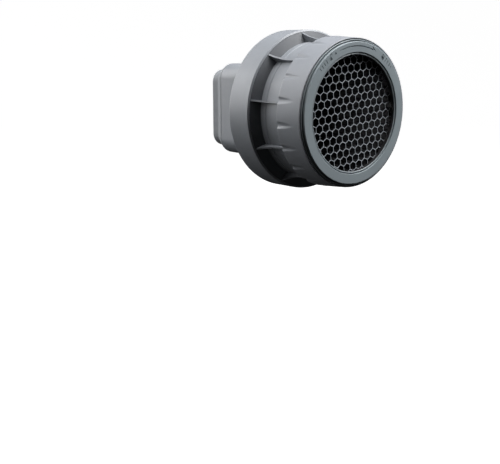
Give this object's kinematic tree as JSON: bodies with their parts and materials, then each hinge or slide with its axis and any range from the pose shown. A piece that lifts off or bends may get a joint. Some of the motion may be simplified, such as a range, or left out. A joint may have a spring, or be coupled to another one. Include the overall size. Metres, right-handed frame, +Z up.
{
  "type": "honeycomb grid",
  "caption": "Honeycomb grid ring that twists onto a finned drum mount, with a soft rectangular boot that slides over a camera flash head.",
  "frame": {"origin": "centre of the socket's rear mouth, on the light's axis", "axes": "+X right as seen from the honeycomb face, -Y forwards along the light, +Z up; +Y is the way the flash head leaves the socket"},
  "size_m": [0.1224, 0.1235, 0.1224],
  "materials": {
    "grey_plastic": "fine satin moulding grain, cool mid grey",
    "face_plastic": "smooth satin, slightly bluish grey",
    "trim_plastic": "semi-gloss grey",
    "black_plastic": "matt black",
    "comb_plastic": "matt black cells with pale worn front edges",
    "boot_rubber": "matt grey elastomer",
    "pad_rubber": "matt black ribbed",
    "felt": "black felt",
    "spring_steel": "bright spring wire",
    "screw_steel": "zinc plated"
  },
  "bodies": {
    "mount": {"boot_sleeve": "boot_rubber", "grip_pad_top": "pad_rubber", "grip_pad_bottom": "pad_rubber", "grip_pad_left": "pad_rubber", "grip_pad_right": "pad_rubber", "boot_frame": "black_plastic", "boot_frame_screws": "screw_steel", "drum_shell": "grey_plastic", "light_tunnel": "black_plastic", "tunnel_screws": "screw_steel", "fin_collar": "grey_plastic", "collar_screws": "screw_steel", "front_seal": "felt"},
    "lock_ring": {"lock_ring": "spring_steel"},
    "grid": {"grid_shell": "grey_plastic", "trim_ring": "trim_plastic", "face_bezel": "face_plastic", "lip_ring": "face_plastic", "core_gasket": "felt", "honeycomb_core": "comb_plastic", "core_retainer": "black_plastic", "retainer_screws": "screw_steel"}
  },
  "joints": [
    {"name": "grid_twist", "type": "hinge", "parent": "mount", "child": "lock_ring", "pos_m": [0, -0.1018, 0], "axis": [0, 1, 0], "range_deg": [0, 18]},
    {"name": "grid_pull", "type": "slide", "parent": "lock_ring", "child": "grid", "axis": [0, -1, 0], "range_m": [0, 0.03]}
  ]
}
